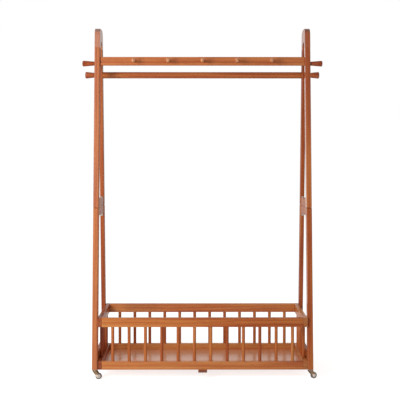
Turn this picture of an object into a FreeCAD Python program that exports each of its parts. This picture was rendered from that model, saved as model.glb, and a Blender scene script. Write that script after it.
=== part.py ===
import FreeCAD, Part
import os
import re
import Sketcher

# Open frame wardrobe on casters: two leaning side frames, joined by a peg rail, a hanging rod and a
# spindle basket. Millimetres, +Z up, front towards -Y, origin on the floor under the middle.

LEFT, RIGHT = -1, 1
FRONT, REAR = -1, 1
SIDES = {"left": LEFT, "right": RIGHT}
ENDS = {"front": FRONT, "rear": REAR}

SIZES = {
    # Side frames
    "overall_height": 1680,
    "frame_width": 1048,
    "foot_depth": 420,
    "seam_height": 808,
    "leg_width": 26,
    "rear_leg_width": 20,
    "leg_depth": 40,
    "leg_ease": 3.5,
    "cap_height": 95,
    "leg_gap": 65,
    "cap_round": 38,
    "pin_radius": 7,
    "pin_length": 18,
    "bar_height": 40,
    "bar_setback": 2,
    "foot_bar_rise": 14.5,
    "foot_bar_height": 60,
    "tenon_width": 12,
    "tenon_height": 22,
    "socket_web": 3,
    "edge_ease": 1.5,
    "joint_gap": 0.15,
    # Seam bolts
    "bolt_inset": 21,
    "bolt_radius": 4,
    "bolt_head_radius": 7,
    "bolt_head_height": 4,
    "bolt_head_round": 2,
    "nut_radius": 7,
    "nut_height": 12,
    "nut_floor": 3,
    # Hanging rod and its knobs
    "rod_below_rail": 56.9,
    "rod_radius": 16,
    "spigot_radius": 7,
    "spigot_length": 20,
    "knob_neck_radius": 10,
    "knob_head_radius": 17.4,
    "knob_length": 67.5,
    "knob_round": 6,
    # Peg rail, coat pegs and side pegs
    "peg_rail_below_cap": 67.3,
    "peg_rail_height": 41.4,
    "peg_rail_thickness": 18,
    "peg_tenon_height": 26,
    "peg_tenon_width": 10,
    "peg_rail_wall": 7,
    "peg_spigot_radius": 5,
    "coat_peg_count": 5,
    "coat_peg_margin": 165,
    "coat_peg_neck_length": 34,
    "coat_peg_flare_length": 12,
    "coat_peg_head_length": 14,
    "coat_peg_neck_radius": 6,
    "coat_peg_head_radius": 10,
    "coat_peg_round": 9,
    "side_peg_below_rail": 11.2,
    "side_peg_length": 59.7,
    "side_peg_neck_radius": 9.4,
    "side_peg_head_radius": 14.6,
    "side_peg_round": 6,
    # Basket
    "basket_height": 245.7,
    "basket_inset": 10,
    "top_rail_height": 43.3,
    "bottom_rail_height": 39,
    "rail_thickness": 20,
    "rail_tenon_height": 20,
    "rail_tenon_width": 8,
    "rail_tenon_length": 10,
    "spindle_radius": 7.5,
    "spindle_pin_radius": 5,
    "spindle_pin_length": 12,
    "long_spindle_count": 12,
    "long_spindle_margin": 51.75,
    "short_spindle_count": 4,
    "short_spindle_margin": 66,
    "floor_thickness": 5,
    "floor_lip": 3,
    "floor_tongue": 3,
    "floor_groove": 6,
    "batten_width": 42,
    "batten_height": 14,
    "screw_radius": 2,
    "screw_cover": 10,
    "screw_head_radius": 4,
    "screw_head_height": 3,
    # Casters
    "wheel_radius": 15,
    "wheel_width": 12,
    "wheel_chamfer": 1.5,
    "wheel_rim": 3,
    "wheel_recess": 1.5,
    "hub_radius": 5.5,
    "hub_proud": 0.5,
    "hub_gap": 0.5,
    "wheel_clearance": 8.2,
    "axle_radius": 2,
    "axle_head_radius": 4,
    "axle_head_height": 1.5,
    "trail": 19,
    "cheek_thickness": 2,
    "cheek_end_half": 5,
    "cheek_end_round": 4.5,
    "plate_radius": 10,
    "plate_thickness": 3,
    "flange_radius": 9.5,
    "flange_height": 4,
    "swivel_gap": 0.3,
    "running_gap": 0.05,
    "journal_radius": 3,
    "stem_radius": 4,
    "stem_length": 30,
    "stem_head_radius": 4.5,
    "stem_head_height": 2.5,
    "front_left_turn": -15,
    "front_right_turn": 25,
    "rear_left_turn": 20,
    "rear_right_turn": -10,
}

doc = FreeCAD.newDocument("OpenFrameWardrobe")
sheet = doc.addObject("Spreadsheet::Sheet", "Sizes")
for row, (alias, number) in enumerate(SIZES.items(), 1):
    sheet.set(f"A{row}", str(number))
    sheet.setAlias(f"A{row}", alias)
doc.recompute()

nodes = []


def bound(text):
    """An expression on the sheet: size names get the sheet's name, functions stay."""
    return re.sub(r"[a-z]\w*(?![\w(])", r"Sizes.\g<0>", text)


def value(text):
    return float(sheet.evalExpression(bound(text)))


def new_body(label, x="0", y="0", z="0", axis=(0, 0, 1), angle=0, turn=None):
    """A body whose own origin lies at x, y, z, turned by a fixed angle or by a size named turn."""
    body = doc.addObject("PartDesign::Body", label)
    body.Label = label
    rotation = FreeCAD.Rotation(FreeCAD.Vector(*axis), angle)
    body.Placement = FreeCAD.Placement(FreeCAD.Vector(), rotation)
    for name, text in zip("xyz", (x, y, z)):
        body.setExpression(f"Placement.Base.{name}", bound(text))
    if turn:
        body.setExpression("Placement.Rotation.Angle", bound(turn))
    return body


def new_node(label, **place):
    body = new_body(label, **place)
    nodes.append(body)
    return body


def new_group(label, bodies):
    """One node that holds several like pieces."""
    group = doc.addObject("Part::Compound", label)
    group.Label = label
    group.Links = bodies
    nodes.append(group)


def sketch(body, normal, start="0", shift="0"):
    """A sketch square to an axis, at the place start along that axis."""
    role = {"X": "YZ_Plane", "Y": "XZ_Plane", "Z": "XY_Plane"}[normal]
    plane = next(item for item in body.Origin.OriginFeatures if item.Role == role)
    drawing = body.newObject("Sketcher::SketchObject", "Outline")
    drawing.AttachmentSupport = [(plane, "")]
    drawing.MapMode = "FlatFace"
    along = f"-({start})" if normal == "Y" else start
    drawing.setExpression("AttachmentOffset.Base.z", bound(along))
    drawing.setExpression("AttachmentOffset.Base.x", bound(shift))
    return drawing


def fix_point(drawing, geometry, point, place):
    for kind, text in zip(("DistanceX", "DistanceY"), place):
        rule = Sketcher.Constraint(kind, -1, 1, geometry, point, value(text))
        number = drawing.addConstraint(rule)
        drawing.setExpression(f"Constraints[{number}]", bound(text))


def draw_polygon(drawing, corners):
    spots = [FreeCAD.Vector(value(u), value(v), 0) for u, v in corners]
    count = len(corners)
    for index in range(count):
        drawing.addGeometry(Part.LineSegment(spots[index], spots[(index + 1) % count]))
    for index in range(count):
        drawing.addConstraint(Sketcher.Constraint("Coincident", index, 2, (index + 1) % count, 1))
    for index, corner in enumerate(corners):
        fix_point(drawing, index, 1, corner)


def draw_circle(drawing, u, v, radius):
    centre = FreeCAD.Vector(value(u), value(v), 0)
    drawing.addGeometry(Part.Circle(centre, FreeCAD.Vector(0, 0, 1), value(radius)))
    fix_point(drawing, 0, 3, (u, v))
    number = drawing.addConstraint(Sketcher.Constraint("Radius", 0, value(radius)))
    drawing.setExpression(f"Constraints[{number}]", bound(radius))


def extrude(body, kind, normal, drawing, length):
    """A Pad or a Pocket that runs from its sketch towards the plus side of the axis."""
    feature = body.newObject(f"PartDesign::{kind}", kind)
    feature.Profile = drawing
    feature.setExpression("Length", bound(length))
    feature.Reversed = (kind == "Pad") == (normal == "Y")
    return feature


def prism(body, kind, normal, corners, start, length):
    drawing = sketch(body, normal, start)
    draw_polygon(drawing, corners)
    return extrude(body, kind, normal, drawing, length)


def box(body, kind, x, y, z):
    """A block between two places on each axis."""
    corners = [(x[0], y[0]), (x[1], y[0]), (x[1], y[1]), (x[0], y[1])]
    return prism(body, kind, "Z", corners, z[0], f"({z[1]}) - ({z[0]})")


def cylinder(body, kind, normal, u, v, radius, start, length):
    drawing = sketch(body, normal, start)
    draw_circle(drawing, u, v, radius)
    return extrude(body, kind, normal, drawing, length)


def turned(body, corners, normal="Y", shift="0"):
    """A turned shape: corners are radius and place along the upright axis of the sketch."""
    drawing = sketch(body, normal, shift=shift)
    draw_polygon(drawing, corners)
    feature = body.newObject("PartDesign::Revolution", "Turned")
    feature.Profile = drawing
    feature.ReferenceAxis = (drawing, ["V_Axis"])
    feature.Angle = 360
    return feature


def repeat(body, feature, count, pitch):
    """Copies of a feature in a row along the sketch's level axis."""
    pattern = body.newObject("PartDesign::LinearPattern", "Row")
    pattern.Originals = [feature]
    pattern.Direction = (feature.Profile[0], ["H_Axis"])
    pattern.setExpression("Length", bound(f"{pitch} * ({count} - 1)"))
    pattern.setExpression("Occurrences", bound(count))
    body.Tip = pattern


# How close two places are taken as the same when an edge is looked up
NEAR = 0.01


def ease(body, feature, radius, wanted=None):
    """Rounds every edge of a feature, or those that the test accepts."""
    fillet = body.newObject("PartDesign::Fillet", "Ease")
    if wanted is None:
        fillet.Base = (feature, [""])
        fillet.UseAllEdges = True
    else:
        doc.recompute()
        edges = enumerate(feature.Shape.Edges, 1)
        fillet.Base = (feature, [f"Edge{number}" for number, edge in edges if wanted(edge)])
    fillet.setExpression("Radius", bound(radius))
    return fillet


def about(middle, half):
    """The two places that lie half to either side of the middle."""
    return (f"{middle} - ({half})", f"{middle} + ({half})")


# Places shared by the pieces of a side frame

FOOT_HEIGHT = "(2 * wheel_radius + wheel_clearance + plate_thickness + swivel_gap + flange_height)"
CAP_JOINT = "(overall_height - cap_height)"
CAP_DEPTH = "(2 * leg_depth + leg_gap)"
TENON_LENGTH = "(leg_depth / 2 - pin_radius)"
LEAN = f"((foot_depth - {CAP_DEPTH}) / 2 / ({CAP_JOINT} - {FOOT_HEIGHT}))"
LEG_WIDTHS = {FRONT: "leg_width", REAR: "rear_leg_width"}
INSIDE_HALF = "(frame_width / 2 - leg_width)"
PEG_RAIL_LEVEL = f"({CAP_JOINT} - peg_rail_below_cap)"
ROD_LEVEL = f"({PEG_RAIL_LEVEL} - rod_below_rail)"
SIDE_PEG_LEVEL = f"({PEG_RAIL_LEVEL} - side_peg_below_rail)"
SOCKET_DEPTH = "((leg_width - socket_web) / 2)"
BASKET_HALF = "(foot_depth / 2 - basket_inset)"
BASKET_TOP = f"({FOOT_HEIGHT} + basket_height)"
RAIL_HEIGHTS = {"bottom": "bottom_rail_height", "top": "top_rail_height"}
RAIL_FEET = {"bottom": FOOT_HEIGHT, "top": f"({BASKET_TOP} - top_rail_height)"}
RAIL_MIDDLES = {level: f"({foot} + {RAIL_HEIGHTS[level]} / 2)" for level, foot in RAIL_FEET.items()}
LONG_RAIL_PLACE = f"({BASKET_HALF} - rail_thickness / 2)"
SHORT_RAIL_PLACE = f"({INSIDE_HALF} - rail_thickness / 2)"
SCREW_BITE = "(leg_width - screw_cover)"
SCREW_LENGTH = f"(rail_thickness + {SCREW_BITE})"


def outer(level):
    """Distance of the outer faces of the legs from the middle plane, at a height."""
    return f"({CAP_DEPTH} / 2 + {LEAN} * ({CAP_JOINT} - ({level})))"


def inner(level):
    return f"({outer(level)} - leg_depth)"


def leg_centre(level):
    return f"({outer(level)} - leg_depth / 2)"


def screw_place(level):
    """Screws pass between the inner face of the leg and the inner face of the long rail."""
    return f"(({inner(level)} + {BASKET_HALF} - rail_thickness) / 2)"


def frame_start(side):
    """The lesser X of the side frame, where its bodies have their origin."""
    return "-frame_width / 2" if side == LEFT else INSIDE_HALF


def from_inside(side, depth):
    """The X range of a cut that goes into a side frame from its inner face."""
    return (f"leg_width - ({depth})", "leg_width") if side == LEFT else ("0", depth)


def from_outside(side, depth):
    return from_inside(-side, depth)


def leg_line(side, end):
    """The X of the middle of a leg. Both legs of a side frame are flush on the inside."""
    half = f"{LEG_WIDTHS[end]} / 2"
    return f"(leg_width - {half})" if side == LEFT else f"({half})"


def bar_tenon(low, high):
    """Heights of a bar's tenon, and how far it reaches from the middle plane."""
    middle = f"(({low}) + ({high})) / 2"
    heights = about(middle, "tenon_height / 2")
    return heights, f"({inner(middle)} + {TENON_LENGTH})"


# Side frames: leaning legs in two lengths, a rounded cap, a bar at each side of the seam, one at the foot

UPPER_BAR = ("seam_height", "seam_height + bar_height")
LOWER_BAR = ("seam_height - bar_height", "seam_height")
FOOT_BAR = (f"{FOOT_HEIGHT} + foot_bar_rise", f"{FOOT_HEIGHT} + foot_bar_rise + foot_bar_height")
PEG_RAIL_PLACE = f"-{leg_centre(PEG_RAIL_LEVEL)}"
SIDE_PEG_PLACE = f"-{leg_centre(SIDE_PEG_LEVEL)}"
ROD_PLACE = leg_centre(ROD_LEVEL)
BOLT_PLACE = f"({inner('seam_height')} - bolt_inset)"


def make_leg(label, side, end, low, high, bore, bars, eased=None):
    """A leg with a round pin on top, a bore in its foot and a mortise for each bar."""
    body = new_node(label, x=frame_start(side))
    corners = [(f"{end} * {outer(low)}", low), (f"{end} * {inner(low)}", low)]
    corners += [(f"{end} * {inner(high)}", high), (f"{end} * {outer(high)}", high)]
    stock = prism(body, "Pad", "X", corners, from_inside(side, LEG_WIDTHS[end])[0], LEG_WIDTHS[end])
    ease(body, stock, "leg_ease", eased)
    middle = leg_line(side, end)
    cylinder(body, "Pad", "Z", middle, f"{end} * {leg_centre(high)}", "pin_radius", high, "pin_length")
    cylinder(body, "Pocket", "Z", middle, f"{end} * {leg_centre(low)}", bore[0], low, bore[1])
    for bar in bars:
        heights, reach = bar_tenon(*bar)
        depth = f"{reach} + joint_gap"
        y = (f"-({depth})", "0") if end == FRONT else ("0", depth)
        z = (f"{heights[0]} - joint_gap", f"{heights[1]} + joint_gap")
        box(body, "Pocket", about(leg_line(side, REAR), "tenon_width / 2 + joint_gap"), y, z)
    return body


def make_bar(body, side, low, high, x):
    """A bar between the legs, with ends cut to their lean and a tenon in line with the rear leg."""
    corners = [(f"-{inner(low)}", low), (inner(low), low), (inner(high), high), (f"-{inner(high)}", high)]
    stock = prism(body, "Pad", "X", corners, x[0], f"({x[1]}) - ({x[0]})")
    ease(body, stock, "edge_ease")
    heights, reach = bar_tenon(low, high)
    box(body, "Pad", about(leg_line(side, REAR), "tenon_width / 2"), (f"-{reach}", reach), heights)
    return body


def make_cap(label, side):
    """The rounded block that closes the frame at the top."""
    body = new_node(label, x=frame_start(side))
    low, high = CAP_JOINT, "overall_height"
    joint, top = value(low), value(high)
    corners = [(f"-{outer(low)}", low), (outer(low), low), (outer(high), high), (f"-{outer(high)}", high)]
    stock = prism(body, "Pad", "X", corners, "0", "leg_width")
    ease(body, stock, "cap_round",
         lambda edge: edge.BoundBox.ZMin > top - NEAR and edge.BoundBox.YLength < NEAR)
    notch = cylinder(body, "Pocket", "X", "0", low, inner(low), "0", "leg_width")
    ease(body, notch, "edge_ease",
         lambda edge: edge.BoundBox.XLength < NEAR and edge.BoundBox.ZMax > joint + NEAR)
    for end in ENDS.values():
        place = f"{end} * {leg_centre(low)}"
        cylinder(body, "Pocket", "Z", leg_line(side, end), place, "pin_radius + joint_gap", low,
                 "pin_length + joint_gap")


def make_crossbars(side_name, side):
    """The bars that meet at the seam, bored for the seam bolts, and the one at the foot."""
    inside = from_inside(side, "rear_leg_width")
    x = (f"{inside[0]} + bar_setback", f"{inside[1]} - bar_setback")
    start = frame_start(side)
    upper_bar = make_bar(new_node(f"{side_name}_upper_crossbar", x=start), side, *UPPER_BAR, x)
    lower_bar = make_bar(new_body(f"{side_name}_seam_bar", x=start), side, *LOWER_BAR, x)
    for crossbar, bar in ((upper_bar, UPPER_BAR), (lower_bar, LOWER_BAR)):
        for end in ENDS.values():
            cylinder(crossbar, "Pocket", "Z", leg_line(side, REAR), f"{end} * {BOLT_PLACE}",
                     "bolt_radius + joint_gap", bar[0], "bar_height")
    foot_bar = make_bar(new_body(f"{side_name}_foot_bar", x=start), side, *FOOT_BAR, x)
    new_group(f"{side_name}_lower_crossbars", [lower_bar, foot_bar])


def below_cap(edge):
    """True for the edges of an upper leg that are rounded: all but those flush with the cap."""
    return edge.BoundBox.ZMin < value(CAP_JOINT) - NEAR


for side_name, side in SIDES.items():
    make_cap(f"{side_name}_top_cap", side)
    for end_name, end in ENDS.items():
        upper_leg = make_leg(f"{side_name}_{end_name}_upper_leg", side, end, "seam_height", CAP_JOINT,
                             ("pin_radius + joint_gap", "pin_length + joint_gap"), [UPPER_BAR],
                             eased=below_cap)
        if end == FRONT:
            box(upper_leg, "Pocket", from_inside(side, SOCKET_DEPTH),
                about(PEG_RAIL_PLACE, "peg_tenon_width / 2 + joint_gap"),
                about(PEG_RAIL_LEVEL, "peg_tenon_height / 2 + joint_gap"))
            cylinder(upper_leg, "Pocket", "X", SIDE_PEG_PLACE, SIDE_PEG_LEVEL, "peg_spigot_radius + joint_gap",
                     from_outside(side, SOCKET_DEPTH)[0], SOCKET_DEPTH)
        else:
            cylinder(upper_leg, "Pocket", "X", ROD_PLACE, ROD_LEVEL, "spigot_radius + joint_gap",
                     from_inside(side, "rear_leg_width")[0], "rear_leg_width")
        lower_leg = make_leg(f"{side_name}_{end_name}_lower_leg", side, end, FOOT_HEIGHT, "seam_height",
                             ("stem_radius + joint_gap", "stem_length + joint_gap"), [LOWER_BAR, FOOT_BAR])
        start = from_inside(side, f"{SCREW_BITE} + joint_gap")[0]
        for level in RAIL_MIDDLES.values():
            cylinder(lower_leg, "Pocket", "X", f"{end} * {screw_place(level)}", level,
                     "screw_radius + joint_gap", start, f"{SCREW_BITE} + joint_gap")
    make_crossbars(side_name, side)


# Seam bolts: a round-headed bolt through both bars, and a hexagonal cap nut under each

SEAM_PLACES = [(f"{side} * ({INSIDE_HALF} + rear_leg_width / 2)", f"{end} * {BOLT_PLACE}")
               for side in SIDES.values() for end in ENDS.values()]


def make_bolt(index, x, y):
    body = new_body(f"seam_bolt_{index}", x=x, y=y, z="seam_height + bar_height")
    end = "-(2 * bar_height + nut_height - nut_floor - joint_gap)"
    feature = turned(body, [("0", end), ("bolt_radius", end), ("bolt_radius", "0"), ("bolt_head_radius", "0"),
                            ("bolt_head_radius", "bolt_head_height"), ("0", "bolt_head_height")])
    rim = value("bolt_head_height")
    ease(body, feature, "bolt_head_round", lambda edge: edge.BoundBox.ZMin > rim - NEAR)
    return body


def make_nut(index, x, y):
    body = new_body(f"seam_nut_{index}", x=x, y=y, z="seam_height - bar_height - nut_height")
    corners = [(f"nut_radius * cos({angle})", f"nut_radius * sin({angle})") for angle in range(0, 360, 60)]
    prism(body, "Pad", "Z", corners, "0", "nut_height")
    cylinder(body, "Pocket", "Z", "0", "0", "bolt_radius + joint_gap", "nut_floor", "nut_height - nut_floor")
    return body


new_group("seam_bolts", [make_bolt(index, *place) for index, place in enumerate(SEAM_PLACES)])
new_group("seam_nuts", [make_nut(index, *place) for index, place in enumerate(SEAM_PLACES)])


# Hanging rod: shoulders against the rear legs, spigots through them into the end knobs

KNOB_START = f"({INSIDE_HALF} + rear_leg_width)"


def make_rod():
    body = new_node("hanging_rod", y=ROD_PLACE, z=ROD_LEVEL, axis=(0, 1, 0), angle=90)
    tip = f"({KNOB_START} + spigot_length)"
    turned(body, [("0", f"-{tip}"), ("spigot_radius", f"-{tip}"), ("spigot_radius", f"-{INSIDE_HALF}"),
                  ("rod_radius", f"-{INSIDE_HALF}"), ("rod_radius", INSIDE_HALF),
                  ("spigot_radius", INSIDE_HALF), ("spigot_radius", tip), ("0", tip)])


def round_tip(body, feature, length, radius):
    """Rounds the rim at the free end of a turned piece."""
    tip = value(length)
    ease(body, feature, radius, lambda edge: edge.BoundBox.ZMin > tip - NEAR)


def make_knob(label, side):
    body = new_node(label, x=f"{side} * {KNOB_START}", y=ROD_PLACE, z=ROD_LEVEL,
                    axis=(0, 1, 0), angle=90 * side)
    bore, depth = "spigot_radius + joint_gap", "spigot_length + joint_gap"
    feature = turned(body, [(bore, "0"), ("knob_neck_radius", "0"), ("knob_head_radius", "knob_length"),
                            ("0", "knob_length"), ("0", depth), (bore, depth)])
    round_tip(body, feature, "knob_length", "knob_round")


def make_side_peg(label, side):
    body = new_node(label, x=f"{side} * frame_width / 2", y=SIDE_PEG_PLACE, z=SIDE_PEG_LEVEL,
                    axis=(0, 1, 0), angle=90 * side)
    root = f"-({SOCKET_DEPTH} - joint_gap)"
    feature = turned(body, [("0", root), ("peg_spigot_radius", root),
                            ("peg_spigot_radius", "0"), ("side_peg_neck_radius", "0"),
                            ("side_peg_head_radius", "side_peg_length"), ("0", "side_peg_length")])
    round_tip(body, feature, "side_peg_length", "side_peg_round")


make_rod()
for side_name, side in SIDES.items():
    make_knob(f"{side_name}_rod_knob", side)
    make_side_peg(f"{side_name}_side_peg", side)


# Peg rail between the front legs, with a row of turned coat pegs on its front face

PEG_PITCH = f"(2 * ({INSIDE_HALF} - coat_peg_margin) / (coat_peg_count - 1))"
FIRST_PEG = f"-({INSIDE_HALF} - coat_peg_margin)"
PEG_SPIGOT_LENGTH = "(peg_rail_thickness - peg_rail_wall)"


def make_peg_rail():
    body = new_node("peg_rail", y=PEG_RAIL_PLACE)
    stock = box(body, "Pad", about("0", INSIDE_HALF), about("0", "peg_rail_thickness / 2"),
                about(PEG_RAIL_LEVEL, "peg_rail_height / 2"))
    ease(body, stock, "edge_ease")
    reach = f"{INSIDE_HALF} + {SOCKET_DEPTH} - joint_gap"
    box(body, "Pad", about("0", reach), about("0", "peg_tenon_width / 2"),
        about(PEG_RAIL_LEVEL, "peg_tenon_height / 2"))
    bore = cylinder(body, "Pocket", "Y", FIRST_PEG, PEG_RAIL_LEVEL, "peg_spigot_radius + joint_gap",
                    "-peg_rail_thickness / 2", f"{PEG_SPIGOT_LENGTH} + joint_gap")
    repeat(body, bore, "coat_peg_count", PEG_PITCH)


def make_coat_peg(index):
    body = new_node(f"coat_peg_{index + 1}", x=f"{FIRST_PEG} + {index} * {PEG_PITCH}",
                    y=f"{PEG_RAIL_PLACE} - peg_rail_thickness / 2", z=PEG_RAIL_LEVEL,
                    axis=(1, 0, 0), angle=90)
    flare_end = "coat_peg_neck_length + coat_peg_flare_length"
    tip = f"{flare_end} + coat_peg_head_length"
    root = f"-{PEG_SPIGOT_LENGTH}"
    feature = turned(body, [("0", root), ("peg_spigot_radius", root),
                            ("peg_spigot_radius", "0"), ("coat_peg_neck_radius", "0"),
                            ("coat_peg_neck_radius", "coat_peg_neck_length"),
                            ("coat_peg_head_radius", flare_end),
                            ("coat_peg_head_radius", tip), ("0", tip)])
    round_tip(body, feature, tip, "coat_peg_round")


make_peg_rail()
for index in range(int(value("coat_peg_count"))):
    make_coat_peg(index)


# Basket: long rails at front and rear, short rails against the legs, spindles, floor and batten

SPINDLE_ROOM = "(basket_height - bottom_rail_height - top_rail_height)"
LONG_RAIL_HALF = f"({INSIDE_HALF} - rail_thickness)"
LONG_ROW = ("long_spindle_count", f"({LONG_RAIL_HALF} - long_spindle_margin)")
SHORT_ROW = ("short_spindle_count", f"({BASKET_HALF} - rail_thickness - short_spindle_margin)")


def pitch(row):
    """Spacing of a row of spindles, from its count and half its length."""
    return f"(2 * {row[1]} / ({row[0]} - 1))"


def long_place(end):
    return {"y": f"{end} * {LONG_RAIL_PLACE}", "angle": 0 if end == FRONT else 180}


def short_place(side):
    return {"x": f"{side} * {SHORT_RAIL_PLACE}", "angle": 90 * side}


def make_rail(label, level_name, half_length, tenon_length, place, row):
    """A rail along its own X axis, with its inner face towards its own +Y, and its spindle bores."""
    body = new_node(label, z=RAIL_FEET[level_name], **place)
    height = RAIL_HEIGHTS[level_name]
    stock = box(body, "Pad", about("0", half_length), about("0", "rail_thickness / 2"), ("0", height))
    ease(body, stock, "edge_ease")
    if tenon_length:
        box(body, "Pad", about("0", f"{half_length} + {tenon_length}"), about("0", "rail_tenon_width / 2"),
            about(f"{height} / 2", "rail_tenon_height / 2"))
    depth = "spindle_pin_length + joint_gap"
    start = f"{height} - ({depth})" if level_name == "bottom" else "0"
    bore = cylinder(body, "Pocket", "Z", f"-{row[1]}", "0", "spindle_pin_radius + joint_gap", start, depth)
    repeat(body, bore, row[0], pitch(row))
    return body


def cut_floor_groove(body, half_length):
    box(body, "Pocket", about("0", half_length), ("rail_thickness / 2 - floor_groove", "rail_thickness / 2"),
        ("floor_lip", "floor_lip + floor_tongue + joint_gap"))


def make_long_rail(label, level_name, end):
    body = make_rail(label, level_name, LONG_RAIL_HALF, "rail_tenon_length", long_place(end), LONG_ROW)
    if level_name == "bottom":
        cut_floor_groove(body, LONG_RAIL_HALF)
        cylinder(body, "Pocket", "Z", "0", "0", "screw_radius + joint_gap", "0",
                 f"{SCREW_LENGTH} - batten_height + joint_gap")


def make_short_rail(label, level_name, side):
    body = make_rail(label, level_name, BASKET_HALF, None, short_place(side), SHORT_ROW)
    middle = f"{RAIL_HEIGHTS[level_name]} / 2"
    mortise_floor = "rail_thickness / 2 - rail_tenon_length - joint_gap"
    head_floor = "rail_thickness / 2 - screw_head_height"
    for end in ENDS.values():
        box(body, "Pocket", about(f"{end} * {LONG_RAIL_PLACE}", "rail_tenon_width / 2 + joint_gap"),
            (mortise_floor, "rail_thickness / 2"),
            about(middle, "rail_tenon_height / 2 + joint_gap"))
        screw = (f"{end} * {screw_place(RAIL_MIDDLES[level_name])}", middle)
        cylinder(body, "Pocket", "Y", *screw, "screw_radius + joint_gap", "-rail_thickness / 2",
                 "rail_thickness")
        cylinder(body, "Pocket", "Y", *screw, "screw_head_radius + joint_gap", head_floor,
                 "screw_head_height")
    if level_name == "bottom":
        cut_floor_groove(body, f"({BASKET_HALF} - rail_thickness + floor_groove)")


def make_spindles(label, place, row):
    body = new_node(label, z=f"{FOOT_HEIGHT} + bottom_rail_height", **place)
    low, high = "-spindle_pin_length", f"{SPINDLE_ROOM} + spindle_pin_length"
    spindle = turned(body, [("0", low), ("spindle_pin_radius", low), ("spindle_pin_radius", "0"),
                            ("spindle_radius", "0"), ("spindle_radius", SPINDLE_ROOM),
                            ("spindle_pin_radius", SPINDLE_ROOM), ("spindle_pin_radius", high), ("0", high)],
                     shift=f"-{row[1]}")
    repeat(body, spindle, row[0], pitch(row))


def make_floor():
    """A board whose field fills the room between the rails, with a tongue round it for their grooves."""
    body = new_node("basket_floor", z=f"{FOOT_HEIGHT} + floor_lip")
    for lap, height in (("floor_groove - joint_gap", "floor_tongue"), ("-joint_gap", "floor_thickness")):
        box(body, "Pad", about("0", f"{LONG_RAIL_HALF} + {lap}"),
            about("0", f"{BASKET_HALF} - rail_thickness + {lap}"), ("0", height))


def make_batten():
    body = new_node("floor_batten", z=f"{FOOT_HEIGHT} - batten_height")
    stock = box(body, "Pad", about("0", "batten_width / 2"), about("0", BASKET_HALF),
                ("0", "batten_height"))
    ease(body, stock, "edge_ease")
    for end in ENDS.values():
        place = f"{end} * {LONG_RAIL_PLACE}"
        cylinder(body, "Pocket", "Z", "0", place, "screw_radius + joint_gap", "0", "batten_height")
        cylinder(body, "Pocket", "Z", "0", place, "screw_head_radius + joint_gap", "0", "screw_head_height")


def make_screw(label, **place):
    """A screw driven towards its own +Z, with its head let in flush."""
    body = new_body(label, **place)
    turned(body, [("0", "0"), ("screw_head_radius", "0"), ("screw_head_radius", "screw_head_height"),
                  ("screw_radius", "screw_head_height"), ("screw_radius", SCREW_LENGTH), ("0", SCREW_LENGTH)])
    return body


for level_name in RAIL_FEET:
    for end_name, end in ENDS.items():
        make_long_rail(f"basket_{end_name}_{level_name}_rail", level_name, end)
    for side_name, side in SIDES.items():
        make_short_rail(f"basket_{side_name}_{level_name}_rail", level_name, side)
for end_name, end in ENDS.items():
    make_spindles(f"basket_{end_name}_spindles", long_place(end), LONG_ROW)
for side_name, side in SIDES.items():
    make_spindles(f"basket_{side_name}_spindles", short_place(side), SHORT_ROW)
make_floor()
make_batten()

screws = []
for end in ENDS.values():
    screws.append(make_screw("batten_screw", y=f"{end} * {LONG_RAIL_PLACE}",
                             z=f"{FOOT_HEIGHT} - batten_height"))
    for side in SIDES.values():
        for level in RAIL_MIDDLES.values():
            screws.append(make_screw("rail_screw", x=f"{side} * {LONG_RAIL_HALF}",
                                     y=f"{end} * {screw_place(level)}", z=level,
                                     axis=(0, 1, 0), angle=90 * side))
new_group("basket_screws", screws)


# Casters: a stem pressed into each foot, a fork that swivels on it, and a wheel on a riveted axle

FLANGE_LOW = f"({FOOT_HEIGHT} - flange_height)"
PLATE_TOP = f"({FLANGE_LOW} - swivel_gap)"
PLATE_LOW = f"({PLATE_TOP} - plate_thickness)"
HEAD_TOP = f"({PLATE_LOW} - swivel_gap)"
HEAD_LOW = f"({HEAD_TOP} - stem_head_height)"
STEM_TOP = f"({FOOT_HEIGHT} + stem_length)"
HUB_HALF = "(wheel_width / 2 + hub_proud)"
SLOT_HALF = f"({HUB_HALF} + hub_gap)"
FORK_HALF = f"({SLOT_HALF} + cheek_thickness)"


def make_stem(label, x, y):
    body = new_node(label, x=x, y=y)
    turned(body, [("0", HEAD_LOW), ("stem_head_radius", HEAD_LOW), ("stem_head_radius", HEAD_TOP),
                  ("journal_radius", HEAD_TOP), ("journal_radius", FLANGE_LOW), ("flange_radius", FLANGE_LOW),
                  ("flange_radius", FOOT_HEIGHT), ("stem_radius", FOOT_HEIGHT),
                  ("stem_radius", STEM_TOP), ("0", STEM_TOP)])


def make_fork(label, x, y, turn):
    body = new_node(label, x=x, y=y, turn=turn)
    cheek_low = "wheel_radius - cheek_end_half"
    corners = [("-plate_radius", PLATE_TOP), ("plate_radius", PLATE_TOP),
               ("trail + cheek_end_half", "wheel_radius + cheek_end_half"),
               ("trail + cheek_end_half", cheek_low), ("trail - cheek_end_half", cheek_low),
               ("-plate_radius", PLATE_LOW)]
    cheeks = prism(body, "Pad", "Y", corners, f"-{FORK_HALF}", f"2 * {FORK_HALF}")
    toe = value(cheek_low)
    ease(body, cheeks, "cheek_end_round",
         lambda edge: edge.BoundBox.ZMax < toe + NEAR and edge.BoundBox.XLength < NEAR)
    cylinder(body, "Pad", "Z", "0", "0", "plate_radius", PLATE_LOW, "plate_thickness")
    box(body, "Pocket", ("-plate_radius", "trail + wheel_radius"), about("0", SLOT_HALF), ("0", PLATE_LOW))
    cylinder(body, "Pocket", "Z", "0", "0", "journal_radius + running_gap", PLATE_LOW, "plate_thickness")
    cylinder(body, "Pocket", "Y", "trail", "wheel_radius", "axle_radius + running_gap", f"-{FORK_HALF}",
             f"2 * {FORK_HALF}")


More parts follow.
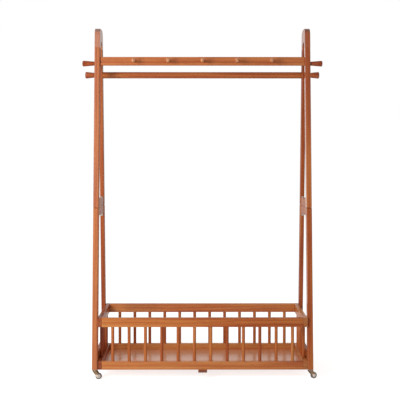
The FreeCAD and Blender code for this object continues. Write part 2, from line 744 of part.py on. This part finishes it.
def make_axle(label, place):
    body = new_node(label, **place)
    end = f"({FORK_HALF} + axle_head_height)"
    turned(body, [("0", f"-{end}"), ("axle_head_radius", f"-{end}"), ("axle_head_radius", f"-{FORK_HALF}"),
                  ("axle_radius", f"-{FORK_HALF}"), ("axle_radius", FORK_HALF),
                  ("axle_head_radius", FORK_HALF), ("axle_head_radius", end), ("0", end)], normal="Z")


def make_wheel(label, place):
    body = new_node(label, **place)
    bore = "axle_radius + running_gap"
    rim_inside = "wheel_radius - wheel_rim"
    web = "wheel_width / 2 - wheel_recess"
    half = [(bore, HUB_HALF), ("hub_radius", HUB_HALF), ("hub_radius", web), (rim_inside, web),
            (rim_inside, "wheel_width / 2"), ("wheel_radius - wheel_chamfer", "wheel_width / 2"),
            ("wheel_radius", "wheel_width / 2 - wheel_chamfer")]
    other_half = [(radius, f"-({along})") for radius, along in reversed(half)]
    turned(body, half + other_half, normal="Z")


for end_name, end in ENDS.items():
    for side_name, side in SIDES.items():
        name = f"{end_name}_{side_name}"
        turn = f"{name}_turn"
        x = f"{side} * ({INSIDE_HALF} + {LEG_WIDTHS[end]} / 2)"
        y = f"{end} * {leg_centre(FOOT_HEIGHT)}"
        make_stem(f"{name}_caster_stem", x, y)
        make_fork(f"{name}_caster_fork", x, y, turn)
        wheel_place = {"x": f"{x} + trail * cos({turn})", "y": f"{y} + trail * sin({turn})",
                       "z": "wheel_radius", "turn": turn}
        make_axle(f"{name}_caster_axle", wheel_place)
        make_wheel(f"{name}_caster_wheel", wheel_place)


# Every feature has to be sound, and every cut has to remove material, before anything is written

doc.recompute()
for item in doc.Objects:
    if "Invalid" in item.State or "Error" in item.State:
        raise RuntimeError(f"{item.Label} failed")
    if item.TypeId == "PartDesign::Pocket" and item.Shape.Volume >= item.BaseFeature.Shape.Volume:
        raise RuntimeError(f"{item.Label} cuts nothing")
for node in nodes:
    if node.Shape.isNull() or not node.Shape.isValid():
        raise RuntimeError(f"{node.Label} has no sound shape")

os.makedirs("parts", exist_ok=True)
for node in nodes:
    node.Shape.exportStep(f"parts/{node.Label}.step")
print(len(nodes), "pieces written")
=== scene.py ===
import math
import random

import bpy
from mathutils import Euler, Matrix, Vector


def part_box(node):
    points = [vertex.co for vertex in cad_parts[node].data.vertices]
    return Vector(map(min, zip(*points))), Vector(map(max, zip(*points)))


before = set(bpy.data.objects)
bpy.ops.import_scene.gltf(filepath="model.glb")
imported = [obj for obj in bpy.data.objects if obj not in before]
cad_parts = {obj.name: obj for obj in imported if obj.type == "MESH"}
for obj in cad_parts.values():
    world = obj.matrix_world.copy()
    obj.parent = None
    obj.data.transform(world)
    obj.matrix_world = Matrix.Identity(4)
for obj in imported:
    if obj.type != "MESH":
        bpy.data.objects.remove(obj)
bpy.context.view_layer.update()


# Side frames, left and right: leaning legs in two lengths with a seam half way up, a rounded cap on top.
# Solid wood, planed, edges eased, stained reddish orange and varnished to a half gloss.
# The legs are pinned at the seam and under the cap, so the fibres of each piece run along its own length.

class Wire:
    """One output of a shader node: arithmetic on wires adds Math nodes, node() adds any other node."""

    def __init__(self, tree, socket=None):
        self.tree = tree
        self.socket = socket

    def node(self, kind, feeds=None, output=0, **settings):
        """A new node: its settings first, then the value or the wire that feeds each of its sockets."""
        made = self.tree.nodes.new(kind)
        for name, setting in settings.items():
            if name == "stops":
                elements = made.color_ramp.elements
                elements.remove(elements[1])
                elements[0].position, elements[0].color = setting[0]
                for place, colour in setting[1:]:
                    elements.new(place).color = colour
            else:
                setattr(made, name, setting)
        for name, feed in (feeds or {}).items():
            if isinstance(feed, Wire):
                self.tree.links.new(feed.socket, made.inputs[name])
            else:
                made.inputs[name].default_value = feed
        return Wire(self.tree, made.outputs[output] if len(made.outputs) else None)

    def out(self, name):
        """Another output of the same node."""
        return Wire(self.tree, self.socket.node.outputs[name])

    def math(self, operation, other=0.0):
        return self.node("ShaderNodeMath", {0: self, 1: other}, operation=operation)

    def vector(self, operation, other=(0, 0, 0), output=0):
        return self.node("ShaderNodeVectorMath", {0: self, 1: other}, output, operation=operation)

    def __add__(self, other):
        return self.math("ADD", other)

    __radd__ = __add__

    def __mul__(self, other):
        return self.math("MULTIPLY", other)

    __rmul__ = __mul__

    def __sub__(self, other):
        return self.math("SUBTRACT", other)

    def __rsub__(self, other):
        return self.node("ShaderNodeMath", {0: other, 1: self}, operation="SUBTRACT")

    def fade(self, start, end):
        """0 up to start, 1 from end on, smooth between."""
        return self.node("ShaderNodeMapRange", {"Value": self, "From Min": start, "From Max": end},
                         interpolation_type="SMOOTHSTEP")

    def tint(self, share, colour):
        """This colour with a share of another one mixed in."""
        return self.node("ShaderNodeMix", {0: share, 6: self, 7: colour}, output=2, data_type="RGBA")

    def ramp(self, stops):
        """The colour that belongs to this number."""
        return self.node("ShaderNodeValToRGB", {"Fac": self}, stops=stops)

    def parts(self):
        """The numbers of this vector: X by itself, Y and Z by out()."""
        return self.node("ShaderNodeSeparateXYZ", {"Vector": self})

    def noise(self, scale, detail):
        """Noise at this place."""
        return self.node("ShaderNodeTexNoise", {"Vector": self, "Scale": scale, "Detail": detail})

    def bump(self, strength, depth):
        """The normal of a surface that has this wire as its height."""
        feeds = {"Strength": strength, "Distance": depth, "Height": self}
        return self.node("ShaderNodeBump", feeds, output="Normal")


def paint(red, green, blue):
    """A colour as seen on a screen, 0 to 255, as linear light."""
    linear = [(c / 255 + 0.055) ** 2.4 / 1.055 ** 2.4 for c in (red, green, blue)]
    return (*linear, 1.0)


def new_finish(name):
    """An empty material, and the wire that its first nodes start from."""
    material = bpy.data.materials.new(name)
    material.use_nodes = True
    material.node_tree.nodes.clear()
    return material, Wire(material.node_tree)


def coat(name, material, start, inputs):
    """Ends a material with one shader and puts it on a piece of the frame."""
    shader = start.node("ShaderNodeBsdfPrincipled", inputs)
    start.node("ShaderNodeOutputMaterial", {"Surface": shader})
    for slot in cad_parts[name].material_slots:
        slot.material = material


STAIN = [(0.10, paint(124, 46, 20)), (0.36, paint(170, 83, 39)), (0.58, paint(194, 113, 56)),
         (0.90, paint(219, 152, 89))]
STAINED_END_GRAIN = paint(98, 42, 26)
RUBBED_EDGE = paint(222, 164, 124)
OPEN_PORE = paint(88, 38, 22)
# Pale pink washed over the stain of the lit left pieces: painted sheen.
PAINTED_SHEEN = paint(196, 166, 152)
RINGS_PER_METRE = 150
RING_WANDER = 4
PLAIN_SHADE = -0.2
GRAIN_DEPTH = 0.0005
SPECULAR_OF_GLOSS = 0.2
VARNISH_ROUGHNESS = 0.22
ROW_SPREAD = 0.16
ROW_START = 100
ALONG_X = (0, -math.pi / 2, 0)
ALONG_Y = (math.pi / 2, 0, 0)
UPRIGHT = (0, 0, 0)


def stained_wood(name, grain, *tones, squared=True, row=None, soaked=0.8, gloss=0.5, sides=1.0, wash=None):
    """Solid stained wood whose fibres run along a turned Z axis, cut from its own place in the tree.

    Tones are spread from left to right. Squared stock has rubbed edges. Row is the axis and pitch of a row
    of pieces, each with its own tone. Soaked is the share of dark stain in the end grain. Sides is the share
    of gloss on faces that look left or right. Wash is a share of another colour over the stain.
    """
    draw = random.Random(name)
    low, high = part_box(name)
    middle = Euler(grain).to_matrix() @ ((low + high) / 2)
    heart = Vector((draw.uniform(-0.04, 0.04), draw.uniform(0.05, 0.11), draw.uniform(0, 9)))
    material, start = new_finish(name + "_wood")
    spot = start.node("ShaderNodeTexCoord", output="Object")
    normal = spot.out("Normal")
    place = start.node("ShaderNodeMapping", {"Vector": spot, "Rotation": grain, "Location": heart - middle})
    turned = start.node("ShaderNodeMapping", {"Vector": normal, "Rotation": grain}, vector_type="VECTOR")
    facing = turned.parts()
    position = spot.parts()

    def streaks(across, along, detail):
        """Noise with so many marks to a metre across the fibres and along them."""
        return place.vector("MULTIPLY", (across, across, along)).noise(1.0, detail)

    broad = streaks(across=11, along=1.1, detail=3)
    band = streaks(across=75, along=2.5, detail=2)
    wander = streaks(across=7, along=0.8, detail=2)
    fibre = streaks(across=380, along=6, detail=3)
    pore = streaks(across=850, along=34, detail=1).fade(0.62, 0.72)
    radius = place.vector("MULTIPLY", (1, 1, 0)).vector("LENGTH", output="Value")
    ring = (radius * RINGS_PER_METRE + wander * RING_WANDER).math("FRACT")
    late = ring * ring * ring

    shade = broad * 0.8 + band * 0.45 + fibre * 0.3 - late * 0.2 + PLAIN_SHADE + (tones[0] if tones else 0)
    for number, (tone, next_tone) in enumerate(zip(tones, tones[1:])):
        stretch = (high.x - low.x) / (len(tones) - 1)
        shade = shade + start.node("ShaderNodeMapRange", {
            "Value": position, "To Min": 0, "To Max": next_tone - tone,
            "From Min": low.x + number * stretch, "From Max": low.x + (number + 1) * stretch})
    if row:
        axis, pitch = row
        number = (position.out(axis) * (1 / pitch) + ROW_START).math("FLOOR")
        step = start.node("ShaderNodeTexWhiteNoise", {"W": number}, noise_dimensions="1D")
        shade = shade + step * ROW_SPREAD - ROW_SPREAD / 2

    end = facing.out("Z").math("ABSOLUTE").fade(0.4, 0.75)
    colour = shade.ramp(STAIN).tint(pore * 0.4, OPEN_PORE).tint(end * soaked, STAINED_END_GRAIN)
    if wash:
        colour = colour.tint(*wash)
    rough = 0.42 + fibre * 0.12 + pore * 0.1 + end * 0.08
    if squared:
        one_way = facing.math("ABSOLUTE")
        other_way = (1 - one_way * one_way).math("SQRT")
        edge = (1 - one_way.math("MAXIMUM", other_way)).fade(0.04, 0.24) * broad.fade(0.3, 0.6)
        colour = colour.tint(edge * 0.45, RUBBED_EDGE)
        rough = rough - edge * 0.06
    flank = normal.parts().math("ABSOLUTE").fade(0.5, 0.9)
    coat(name, material, start, {
        "Base Color": colour,
        "Roughness": rough,
        "Normal": (fibre * 0.5 - pore - late * 0.3).bump(0.25, GRAIN_DEPTH),
        "Specular IOR Level": SPECULAR_OF_GLOSS * gloss,
        "Coat Weight": flank * (gloss * (sides - 1)) + gloss,
        "Coat Roughness": VARNISH_ROUGHNESS})


LEG_SLOPE = 0.0893
LEAN = math.atan(LEG_SLOPE)
LEANING_BACK, LEANING_FORTH = (LEAN, 0, 0), (-LEAN, 0, 0)
# The left legs have a little pale pink washed in, and the left cap more: painted sheen.
stained_wood("left_front_upper_leg", LEANING_BACK, -0.05, gloss=0.5, sides=0, wash=(0.05, PAINTED_SHEEN))
stained_wood("left_front_lower_leg", LEANING_BACK, 0.03, gloss=0.4, sides=0, wash=(0.04, PAINTED_SHEEN))
# The right pieces and the rear legs are stained darker than the left front legs: partly their own tone,
# partly painted shade.
stained_wood("right_front_upper_leg", LEANING_BACK, -0.06, gloss=0.4, sides=2.5)
stained_wood("right_front_lower_leg", LEANING_BACK, -0.17, gloss=0.25, sides=2.4)
stained_wood("left_rear_upper_leg", LEANING_FORTH, -0.17, gloss=0.4, sides=0.3)
stained_wood("left_rear_lower_leg", LEANING_FORTH, -0.15, gloss=0.3, sides=0.3)
stained_wood("right_rear_upper_leg", LEANING_FORTH, -0.22, gloss=0.3, sides=0.3)
stained_wood("right_rear_lower_leg", LEANING_FORTH, -0.2, gloss=0.3, sides=0.3)
stained_wood("left_top_cap", UPRIGHT, -0.04, squared=False, gloss=0.8, sides=0.65,
             wash=(0.25, PAINTED_SHEEN))
stained_wood("right_top_cap", UPRIGHT, -0.2, squared=False, gloss=0.6, sides=1.2)


# Crossbars: short level lengths of the same stock, tenoned into the legs of a side frame.
# Two meet at the seam, where bolts join them, and a taller one closes the frame at the foot.

for side in ("left", "right"):
    stained_wood(f"{side}_upper_crossbar", ALONG_Y, -0.06, gloss=0.22)
    stained_wood(f"{side}_lower_crossbars", ALONG_Y, -0.06, gloss=0.22)


# Seam bolts and cap nuts: zinc plated steel, dull and slightly warm, with fine turning marks.
# The heads sit on the upper bar, the nuts are drawn up under the lower bar.

ZINC = [(0.3, paint(132, 122, 112)), (0.7, paint(196, 190, 182))]
TURNING_MARKS = (400, 400, 3000)
SCRATCH_DEPTH = 0.0002


def zinc(name):
    material, start = new_finish(name + "_zinc")
    spot = start.node("ShaderNodeTexCoord", output="Object")
    mottle = spot.noise(160, 4)
    scratch = spot.vector("MULTIPLY", TURNING_MARKS).noise(1.0, 2)
    coat(name, material, start, {
        "Base Color": (mottle * 0.6 + scratch * 0.4).ramp(ZINC),
        "Metallic": 1.0,
        "Roughness": 0.26 + mottle * 0.2,
        "Normal": scratch.bump(0.15, SCRATCH_DEPTH)})


zinc("seam_bolts")
zinc("seam_nuts")


# Hanging rod: a round bar the width of the rack, shouldered against the rear legs.
# Its spigots go through the legs into a flared knob at each end, turned from the same wood.

# The rod is darker towards both ends, most at the right: painted shade of the side frames.
stained_wood("hanging_rod", ALONG_X, -0.12, -0.06, -0.01, -0.09, -0.15, squared=False, gloss=0.35)
stained_wood("left_rod_knob", ALONG_X, -0.13, squared=False)
stained_wood("right_rod_knob", ALONG_X, -0.14, squared=False, gloss=0.4)


# Peg rail: a flat rail tenoned into the front legs, with five turned pegs glued into its face.
# A slimmer flared peg stands out from the outer face of each front leg at nearly the same height.

COAT_PEGS = 5
stained_wood("peg_rail", ALONG_X, -0.03)
# The coat pegs are stained paler than the rail and have no dark end grain: a painted highlight on their
# heads.
for number in range(1, COAT_PEGS + 1):
    stained_wood(f"coat_peg_{number}", ALONG_Y, 0.16, squared=False, soaked=0.0, gloss=1.0)
stained_wood("left_side_peg", ALONG_X, -0.27, squared=False, gloss=0.25)
stained_wood("right_side_peg", ALONG_X, -0.2, squared=False, gloss=0.35)


# Basket rails: two rings of four rails, the long ones tenoned into the short ones at the legs.
# The short rails are screwed to the legs from inside, and a groove in the lower ring takes the floor.

# The front rails are lighter at the left end and darker at the right: painted light and shade.
stained_wood("basket_front_top_rail", ALONG_X, 0.2, 0.12, 0.03, -0.1, -0.2, gloss=0.2)
stained_wood("basket_rear_top_rail", ALONG_X, 0.1)
stained_wood("basket_front_bottom_rail", ALONG_X, 0.26, 0.14, 0.09, 0.06, -0.08, gloss=0.35)
stained_wood("basket_rear_bottom_rail", ALONG_X, 0.2, gloss=0.4)
for level in ("top", "bottom"):
    stained_wood(f"basket_left_{level}_rail", ALONG_Y, -0.18, soaked=0.3, gloss=0.3)
    stained_wood(f"basket_right_{level}_rail", ALONG_Y, 0.14, soaked=0.3, gloss=0.3)


# Spindles: plain round bars with a pin at each end, set in a row between the lower and upper rail.
# Each is cut from another board, so the tone steps from one to the next.

WARM_STAIN = paint(226, 108, 62)
LONG_ROW, SHORT_ROW = ("X", 0.0775), ("Y", 0.076)
for face in ("front", "rear"):
    stained_wood(f"basket_{face}_spindles", UPRIGHT, squared=False, row=LONG_ROW, gloss=0.25)
stained_wood("basket_left_spindles", UPRIGHT, -0.22, squared=False, row=SHORT_ROW, gloss=0.3)
stained_wood("basket_right_spindles", UPRIGHT, 0.18, squared=False, row=SHORT_ROW, gloss=0.25,
             wash=(0.3, WARM_STAIN))


# Basket floor: one thin veneered board in the grooves of the lower rails, over a batten from front to rear.
# The batten is screwed up into both long rails with countersunk zinc screws, as the rails are to the legs.

# The floor's pale stain and pale pink wash are partly its paler veneer, partly painted sheen.
PALE_VENEER_AND_SHEEN = paint(244, 172, 138)
stained_wood("basket_floor", ALONG_X, 0.55, 0.85, squared=False, gloss=0.65, wash=(0.6, PALE_VENEER_AND_SHEEN))
stained_wood("floor_batten", ALONG_Y)
zinc("basket_screws")


# Casters: a zinc stem pressed into the foot of each leg, and a pressed fork that swivels under its flange.
# The fork is bronzed steel, paler towards the axle, which is a plain rivet.
# The wheel is hard plastic, dark at the tread and pale at the hub.

BRONZE = [(0.3, paint(96, 76, 58)), (0.7, paint(150, 122, 94))]
PALE_BRONZE = paint(222, 208, 196)
PALE_BELOW, BRONZED_ABOVE = 0.019, 0.029
RAGGED_BORDER = 0.006
TREAD = [(0.3, paint(78, 70, 64)), (0.7, paint(112, 101, 91))]
HUB = paint(206, 194, 184)
HUB_RADIUS, TREAD_RADIUS = 0.0098, 0.0112
CASTER_TURNS = {"front_left": -15, "front_right": 25, "rear_left": 20, "rear_right": -10}


def bronzed_fork(name):
    material, start = new_finish(name + "_bronze")
    spot = start.node("ShaderNodeTexCoord", output="Object")
    height = spot.parts().out("Z")
    mottle = spot.noise(220, 4)
    # Paler below, bronze above, with a ragged border between.
    pale_share = 1 - (height + mottle * RAGGED_BORDER).fade(PALE_BELOW, BRONZED_ABOVE)
    coat(name, material, start, {
        "Base Color": mottle.ramp(BRONZE).tint(pale_share, PALE_BRONZE),
        "Metallic": 0.85,
        "Roughness": 0.5 - pale_share * 0.12,
        "Normal": mottle.bump(0.15, SCRATCH_DEPTH)})


def caster_wheel(name, turn):
    low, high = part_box(name)
    upright = Euler((0, 0, -math.radians(turn)))
    middle = upright.to_matrix() @ ((low + high) / 2)
    material, start = new_finish(name + "_plastic")
    spot = start.node("ShaderNodeTexCoord", output="Object")
    place = start.node("ShaderNodeMapping", {"Vector": spot, "Rotation": upright, "Location": -middle})
    radius = place.vector("MULTIPLY", (1, 0, 1)).vector("LENGTH", output="Value")
    speckle = spot.noise(900, 3)
    coat(name, material, start, {
        "Base Color": speckle.ramp(TREAD).tint(1 - radius.fade(HUB_RADIUS, TREAD_RADIUS), HUB),
        "Roughness": 0.38 + speckle * 0.2,
        "Normal": speckle.bump(0.2, SCRATCH_DEPTH)})


for corner, turn in CASTER_TURNS.items():
    zinc(f"{corner}_caster_stem")
    bronzed_fork(f"{corner}_caster_fork")
    zinc(f"{corner}_caster_axle")
    caster_wheel(f"{corner}_caster_wheel", turn)


# Studio: a white floor that runs into a white surround, and a large soft lamp at the upper left.
# A weaker one fills from the right. To camera and reflections the surround is plain white.
# The camera stands where the photograph was taken from.

WHITE = (1, 1, 1, 1)
SURROUND_LIGHT = 0.31
FLOOR_SIZE = 60
FLOOR_PAINT = (0.8, 0.8, 0.8, 1)
FLOOR_GLOW = 0.78


def seen_white(start):
    """1 for what the camera, a reflection or glass sees, 0 for light that falls on the rack."""
    ray = start.node("ShaderNodeLightPath", output="Is Camera Ray")
    return ray.math("MAXIMUM", ray.out("Is Glossy Ray")).math("MAXIMUM", ray.out("Is Transmission Ray"))


world = bpy.data.worlds.new("studio")
world.use_nodes = True
world.node_tree.nodes.clear()
bpy.context.scene.world = world
start = Wire(world.node_tree)
strength = SURROUND_LIGHT + seen_white(start) * (1 - SURROUND_LIGHT)
light = start.node("ShaderNodeBackground", {"Color": WHITE, "Strength": strength})
start.node("ShaderNodeOutputWorld", {"Surface": light})

bpy.ops.object.select_all(action="DESELECT")
bpy.ops.mesh.primitive_plane_add(size=FLOOR_SIZE)
floor = bpy.context.object
floor.name = "studio_floor"
material, start = new_finish("white_floor")
matt = start.node("ShaderNodeBsdfDiffuse", {"Color": FLOOR_PAINT})
glow = start.node("ShaderNodeEmission", {"Color": WHITE, "Strength": seen_white(start) * FLOOR_GLOW})
lit_floor = start.node("ShaderNodeAddShader", {0: matt, 1: glow})
start.node("ShaderNodeOutputMaterial", {"Surface": lit_floor})
floor.data.materials.append(material)


def soft_lamp(name, place, aim, width, height, power):
    lamp = bpy.data.lights.new(name, "AREA")
    lamp.shape = "RECTANGLE"
    lamp.size, lamp.size_y = width, height
    lamp.energy = power
    holder = bpy.data.objects.new(name, lamp)
    bpy.context.scene.collection.objects.link(holder)
    holder.location = place
    holder.rotation_euler = (Vector(aim) - Vector(place)).to_track_quat("-Z", "Y").to_euler()


soft_lamp("key_lamp", place=(-1.6, -2.1, 1.45), aim=(-0.1, 0, 0.8), width=0.9, height=1.3, power=51)
soft_lamp("fill_lamp", place=(3.0, -3.4, 1.8), aim=(0, 0, 0.8), width=2.0, height=2.0, power=8)

CAMERA_PLACE = (-0.0280, -4.2489, 1.0804)
CAMERA_DIP, CAMERA_TURN = 0.0170, 0.0038
CAMERA_LENS, CAMERA_SENSOR, CAMERA_SHIFT = 77.28, 36, -0.0856
camera = bpy.data.objects.new("camera", bpy.data.cameras.new("camera"))
bpy.context.scene.collection.objects.link(camera)
camera.location = CAMERA_PLACE
camera.rotation_euler = (math.pi / 2 - CAMERA_DIP, 0, -CAMERA_TURN)
camera.data.lens = CAMERA_LENS
camera.data.sensor_width = CAMERA_SENSOR
camera.data.shift_y = CAMERA_SHIFT
bpy.context.scene.camera = camera

bpy.context.scene.view_settings.view_transform = "Standard"
